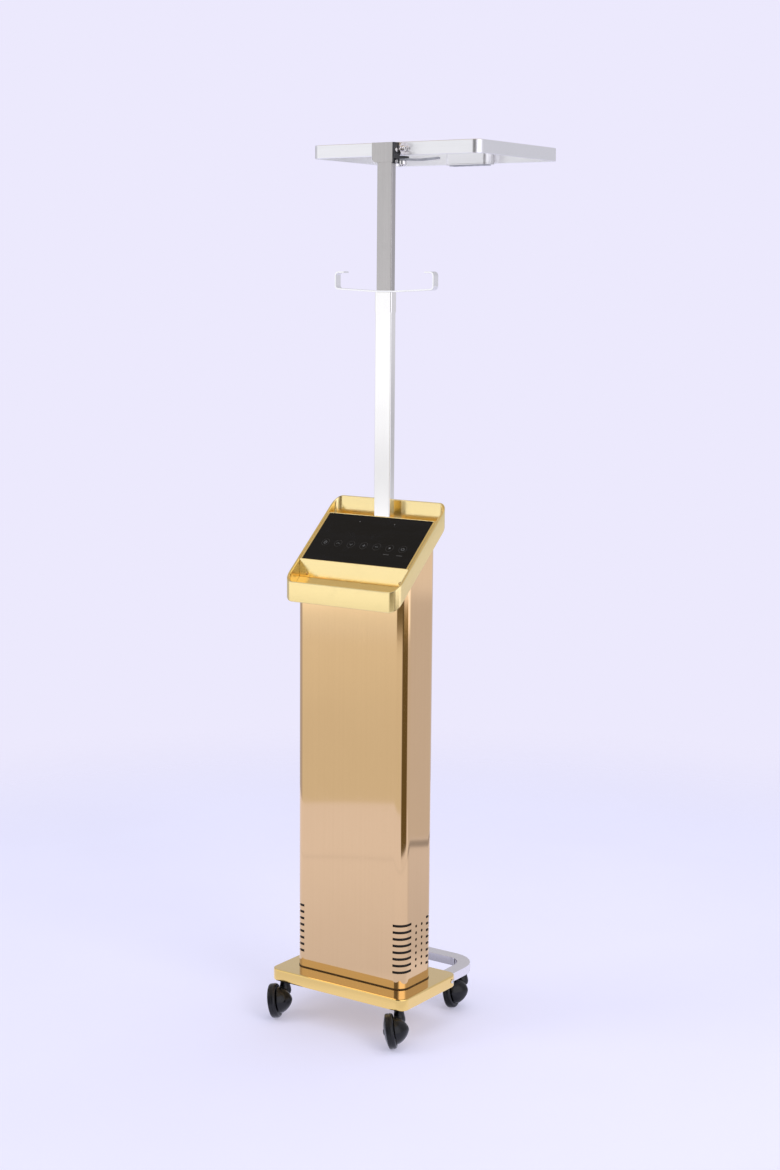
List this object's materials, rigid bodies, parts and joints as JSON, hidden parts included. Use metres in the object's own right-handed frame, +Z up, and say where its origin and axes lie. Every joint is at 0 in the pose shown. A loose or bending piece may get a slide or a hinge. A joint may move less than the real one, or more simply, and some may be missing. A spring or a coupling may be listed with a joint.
{
  "type": "digital perm machine",
  "caption": "Gold digital perm machine: a castored column with a sloped touch console and a telescopic mast that carries a tilting ring for the heater leads",
  "frame": {"origin": "on the floor under the middle of the bounding box", "axes": "+Z up, -Y towards the operator in front of the touch panel, +X to the operator's right"},
  "size_m": [0.387, 0.5115, 1.7115],
  "materials": {
    "satin_gold": "satin gold paint on sheet metal",
    "bright_gold": "bright gold anodised, fine satin",
    "mast_steel": "fine brushed, neutral grey",
    "pale_aluminium": "pale satin aluminium",
    "dark_steel": "dark coated steel",
    "bright_screw": "bright plated",
    "black_plastic": "black, soft gloss",
    "black_glass": "polished black back-painted glass",
    "core_iron": "stacked core plates, dull",
    "winding_tape": "amber insulating tape",
    "circuit_board": "green solder mask"
  },
  "bodies": {
    "mast": {"upper_pole": "mast_steel", "pole_head": "mast_steel", "hinge_plate": "dark_steel", "hinge_screw_lower": "bright_screw", "hinge_screw_upper": "bright_screw", "pivot_bolt": "dark_steel", "pivot_nut": "bright_screw", "lever_pin": "bright_screw"},
    "lead_ring": {"ring_frame": "pale_aluminium", "ring_ear_left": "pale_aluminium", "ring_ear_right": "pale_aluminium", "lead_box": "pale_aluminium", "lead_box_cover": "pale_aluminium", "lead_socket_strip": "black_plastic"},
    "lever": {"clamp_lever": "dark_steel"},
    "rocker": {"rocker_button": "black_plastic"},
    "lock_screw": {"pole_lock_knob": "black_plastic"},
    "castor_front_left": {"castor_front_left_hood": "black_plastic", "castor_front_left_axle": "dark_steel"},
    "wheel_front_left": {"castor_front_left_wheel": "black_plastic"},
    "castor_front_right": {"castor_front_right_hood": "black_plastic", "castor_front_right_axle": "dark_steel"},
    "wheel_front_right": {"castor_front_right_wheel": "black_plastic"},
    "castor_rear_left": {"castor_rear_left_hood": "black_plastic", "castor_rear_left_axle": "dark_steel"},
    "wheel_rear_left": {"castor_rear_left_wheel": "black_plastic"},
    "castor_rear_right": {"castor_rear_right_hood": "black_plastic", "castor_rear_right_axle": "dark_steel"},
    "wheel_rear_right": {"castor_rear_right_wheel": "black_plastic"},
    "pedestal": {"base_plate": "bright_gold", "board_bracket": "dark_steel", "castor_front_left_stem": "bright_screw", "castor_front_right_stem": "bright_screw", "castor_rear_left_stem": "bright_screw", "castor_rear_right_stem": "bright_screw", "column_shell": "satin_gold", "console_floor": "bright_gold", "console_rim": "bright_gold", "deck_screw_left": "bright_gold", "deck_screw_right": "bright_gold", "foot_frame": "dark_steel", "heat_sink": "pale_aluminium", "hook_bar": "pale_aluminium", "lower_pole": "mast_steel", "mains_inlet": "black_plastic", "outrigger_bar": "pale_aluminium", "outrigger_screw_left": "bright_screw", "outrigger_screw_right": "bright_screw", "panel_deck": "bright_gold", "pole_socket": "dark_steel", "power_board": "circuit_board", "socket_screw_left": "bright_screw", "socket_screw_right": "bright_screw", "switch_bezel": "black_plastic", "touch_board": "circuit_board", "touch_glass": "black_glass", "transformer_core": "core_iron", "transformer_cradle": "dark_steel", "transformer_winding": "winding_tape"}
  },
  "joints": [
    {"name": "swivel_front_left", "type": "hinge", "parent": "pedestal", "child": "castor_front_left", "pos_m": [-0.138, -0.19517, 0.05], "axis": [0, 0, 1], "continuous": true},
    {"name": "roll_front_left", "type": "hinge", "parent": "castor_front_left", "child": "wheel_front_left", "pos_m": [-0.141, -0.22305, 0.03426], "axis": [0.8925, 0.4162, 0.1736], "continuous": true},
    {"name": "swivel_front_right", "type": "hinge", "parent": "pedestal", "child": "castor_front_right", "pos_m": [0.138, -0.19517, 0.05], "axis": [0, 0, 1], "continuous": true},
    {"name": "roll_front_right", "type": "hinge", "parent": "castor_front_right", "child": "wheel_front_right", "pos_m": [0.13891, -0.22319, 0.03426], "axis": [0.8259, 0.5364, 0.1736], "continuous": true},
    {"name": "swivel_rear_left", "type": "hinge", "parent": "pedestal", "child": "castor_rear_left", "pos_m": [-0.11994, 0.05787, 0.05], "axis": [0, 0, 1], "continuous": true},
    {"name": "roll_rear_left", "type": "hinge", "parent": "castor_rear_left", "child": "wheel_rear_left", "pos_m": [-0.12773, 0.03094, 0.03426], "axis": [0.9513, 0.2549, 0.1736], "continuous": true},
    {"name": "swivel_rear_right", "type": "hinge", "parent": "pedestal", "child": "castor_rear_right", "pos_m": [0.11994, 0.05787, 0.05], "axis": [0, 0, 1], "continuous": true},
    {"name": "roll_rear_right", "type": "hinge", "parent": "castor_rear_right", "child": "wheel_rear_right", "pos_m": [0.11214, 0.03094, 0.03426], "axis": [0.9513, 0.2549, 0.1736], "continuous": true},
    {"name": "mast_lift", "type": "slide", "parent": "pedestal", "child": "mast", "axis": [0, 0, 1], "range_m": [-0.03, 0.15]},
    {"name": "ring_tilt", "type": "hinge", "parent": "mast", "child": "lead_ring", "pos_m": [0, -0.04467, 1.69875], "axis": [1, 0, 0], "range_deg": [-35, 0]},
    {"name": "lever_swing", "type": "hinge", "parent": "mast", "child": "lever", "pos_m": [0.0361, -0.05806, 1.67895], "axis": [0, 0, 1], "range_deg": [-50, 0]},
    {"name": "rocker_tilt", "type": "hinge", "parent": "pedestal", "child": "rocker", "pos_m": [0.03, -0.07336, 0.266], "axis": [0, 0, 1], "range_deg": [-20, 0]},
    {"name": "lock_turn", "type": "hinge", "parent": "pedestal", "child": "lock_screw", "pos_m": [0, -0.05287, 1.3795], "axis": [0, 1, 0], "continuous": true}
  ]
}
